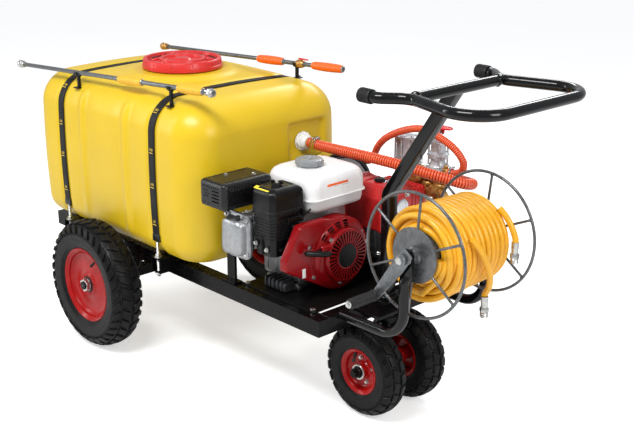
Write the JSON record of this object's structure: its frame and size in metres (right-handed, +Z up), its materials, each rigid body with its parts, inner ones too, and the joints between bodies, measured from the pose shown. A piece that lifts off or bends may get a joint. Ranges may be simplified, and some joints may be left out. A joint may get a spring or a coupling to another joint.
{
  "type": "wheeled sprayer cart",
  "caption": "Pull-along orchard sprayer: strapped tank, engine-driven pump, hose reel with crank, steered front wheels and a loop handle on a steel frame.",
  "frame": {"origin": "on the ground under the rear axle, on the centre plane", "axes": "+X forward towards the pull handle, +Y to the far side away from the reel crank, +Z up"},
  "size_m": [1.8748, 0.8162, 0.943],
  "materials": {
    "frame_black": "gloss black powder coat",
    "tank_yellow": "semi-matt rotomoulded plastic",
    "lid_red": "satin moulded plastic",
    "gasket_rubber": "matt",
    "zinc_steel": "zinc plated",
    "chrome_steel": "polished",
    "cast_aluminium": "as cast, fine grain",
    "dark_casting": "painted dark grey",
    "shroud_red": "gloss red paint",
    "pump_red": "satin red paint on casting",
    "tank_white": "semi-matt white",
    "grey_plastic": "matt grey",
    "black_plastic": "matt black",
    "lever_red": "gloss",
    "brass_casting": "cast brass, satin",
    "belt_black": "matt",
    "pulley_grey": "painted grey",
    "suction_orange": "corrugated, satin",
    "return_orange": "corrugated, satin",
    "spray_hose": "smooth satin",
    "reel_steel": "grey enamel",
    "grip_black": "ribbed matt",
    "lance_steel": "grey anodised with plastic grips",
    "tyre_black": "matt tread",
    "rim_red": "gloss red paint"
  },
  "bodies": {
    "chassis": {"frame": "frame_black", "deck_plate": "frame_black", "rear_axle": "frame_black", "tank_stops": "frame_black", "chassis_bolts": "zinc_steel", "reel_arm_near": "frame_black", "reel_arm_far": "frame_black", "tank": "tank_yellow", "outlet_fitting": "tank_white", "tank_straps": "black_plastic", "strap_bolts": "zinc_steel", "lance_hooks": "black_plastic", "engine_block": "cast_aluminium", "valve_cover": "cast_aluminium", "fan_shroud": "shroud_red", "recoil_cover": "shroud_red", "fuel_tank": "tank_white", "air_cleaner_case": "black_plastic", "air_cleaner_cover": "black_plastic", "muffler": "dark_casting", "muffler_guard": "frame_black", "carburettor": "cast_aluminium", "drive_belt": "belt_black", "belt_guard": "frame_black", "pump_crankcase": "pump_red", "pump_head": "brass_casting", "air_chamber": "chrome_steel", "regulator": "chrome_steel", "suction_hose": "suction_orange", "return_hose": "return_orange", "hose_clips": "chrome_steel"},
    "lid_ring": {"lid_gasket": "gasket_rubber"},
    "lid": {"tank_lid": "lid_red"},
    "lance_near": {"lance_near": "lance_steel"},
    "lance_far": {"lance_far": "lance_steel"},
    "crank": {"crankshaft": "zinc_steel", "flywheel": "dark_casting", "engine_pulley": "pulley_grey"},
    "pump_drive": {"pump_pulley": "pulley_grey"},
    "recoil_handle": {"recoil_handle": "black_plastic"},
    "fuel_cap": {"fuel_cap": "grey_plastic"},
    "throttle": {"throttle_lever": "black_plastic"},
    "choke": {"choke_lever": "black_plastic"},
    "regulator_lever": {"regulator_lever": "lever_red"},
    "reel": {"reel_drum": "reel_steel", "wound_hose": "spray_hose", "hose_couplings": "zinc_steel", "crank_arm": "reel_steel"},
    "crank_grip": {"crank_grip": "grip_black"},
    "steering": {"steering_post": "frame_black", "handle_grips": "grip_black", "front_axle": "frame_black"},
    "rear_wheel_near": {"rear_tyre_near": "tyre_black", "rear_rim_near": "rim_red"},
    "rear_wheel_far": {"rear_tyre_far": "tyre_black", "rear_rim_far": "rim_red"},
    "front_wheel_near": {"front_tyre_near": "tyre_black", "front_rim_near": "rim_red"},
    "front_wheel_far": {"front_tyre_far": "tyre_black", "front_rim_far": "rim_red"}
  },
  "joints": [
    {"name": "rear_wheel_near_turn", "type": "hinge", "parent": "chassis", "child": "rear_wheel_near", "pos_m": [0, -0.358, 0.2], "axis": [0, 1, 0], "continuous": true},
    {"name": "rear_wheel_far_turn", "type": "hinge", "parent": "chassis", "child": "rear_wheel_far", "pos_m": [0, 0.358, 0.2], "axis": [0, 1, 0], "continuous": true},
    {"name": "steering_turn", "type": "hinge", "parent": "chassis", "child": "steering", "pos_m": [0.897, 0, 0.295], "axis": [0, 0, 1], "range_deg": [-40, 40]},
    {"name": "front_wheel_near_turn", "type": "hinge", "parent": "steering", "child": "front_wheel_near", "pos_m": [0.897, -0.079, 0.13], "axis": [0, 1, 0], "continuous": true},
    {"name": "front_wheel_far_turn", "type": "hinge", "parent": "steering", "child": "front_wheel_far", "pos_m": [0.897, 0.079, 0.13], "axis": [0, 1, 0], "continuous": true},
    {"name": "reel_turn", "type": "hinge", "parent": "chassis", "child": "reel", "pos_m": [1.11, 0, 0.53], "axis": [0, 1, 0], "continuous": true},
    {"name": "crank_grip_turn", "type": "hinge", "parent": "reel", "child": "crank_grip", "pos_m": [1.02093, -0.226, 0.4118], "axis": [0, 1, 0], "continuous": true},
    {"name": "pump_turn", "type": "hinge", "parent": "chassis", "child": "pump_drive", "pos_m": [0.507, 0.168, 0.475], "axis": [1, 0, 0], "continuous": true},
    {"name": "engine_turn", "type": "hinge", "parent": "chassis", "child": "crank", "pos_m": [0.507, -0.048, 0.422], "axis": [1, 0, 0], "continuous": true},
    {"name": "lid_turn", "type": "hinge", "parent": "lid_ring", "child": "lid", "pos_m": [0.004, 0, 0.85], "axis": [0, 0, 1], "range_deg": [0, 540]},
    {"name": "lid_lift", "type": "slide", "parent": "chassis", "child": "lid_ring", "axis": [0, 0, 1], "range_m": [0, 0.012]},
    {"name": "fuel_cap_turn", "type": "hinge", "parent": "chassis", "child": "fuel_cap", "pos_m": [0.637, -0.047, 0.66], "axis": [0, 0, 1], "range_deg": [0, 90]},
    {"name": "recoil_pull", "type": "slide", "parent": "chassis", "child": "recoil_handle", "axis": [0, -1, 0], "range_m": [0, 0.1]},
    {"name": "throttle_turn", "type": "hinge", "parent": "chassis", "child": "throttle", "pos_m": [0.7255, -0.16, 0.522], "axis": [-1, 0, 0], "range_deg": [0, 45]},
    {"name": "choke_turn", "type": "hinge", "parent": "chassis", "child": "choke", "pos_m": [0.7255, -0.17, 0.488], "axis": [-1, 0, 0], "range_deg": [0, 25]},
    {"name": "regulator_lever_turn", "type": "hinge", "parent": "chassis", "child": "regulator_lever", "pos_m": [0.8, 0.304, 0.709], "axis": [0, 1, 0], "range_deg": [-75, 0]},
    {"name": "lance_near_lift", "type": "slide", "parent": "chassis", "child": "lance_near", "axis": [0, 0, 1], "range_m": [0, 0.15]},
    {"name": "lance_far_lift", "type": "slide", "parent": "chassis", "child": "lance_far", "axis": [0, 0, 1], "range_m": [0, 0.15]}
  ],
  "couplings": [
    {"joint": "engine_turn", "follows": "pump_turn", "ratio": 3.4225},
    {"joint": "lid_lift", "follows": "lid_turn", "m_per_rad": 0.0012732}
  ]
}
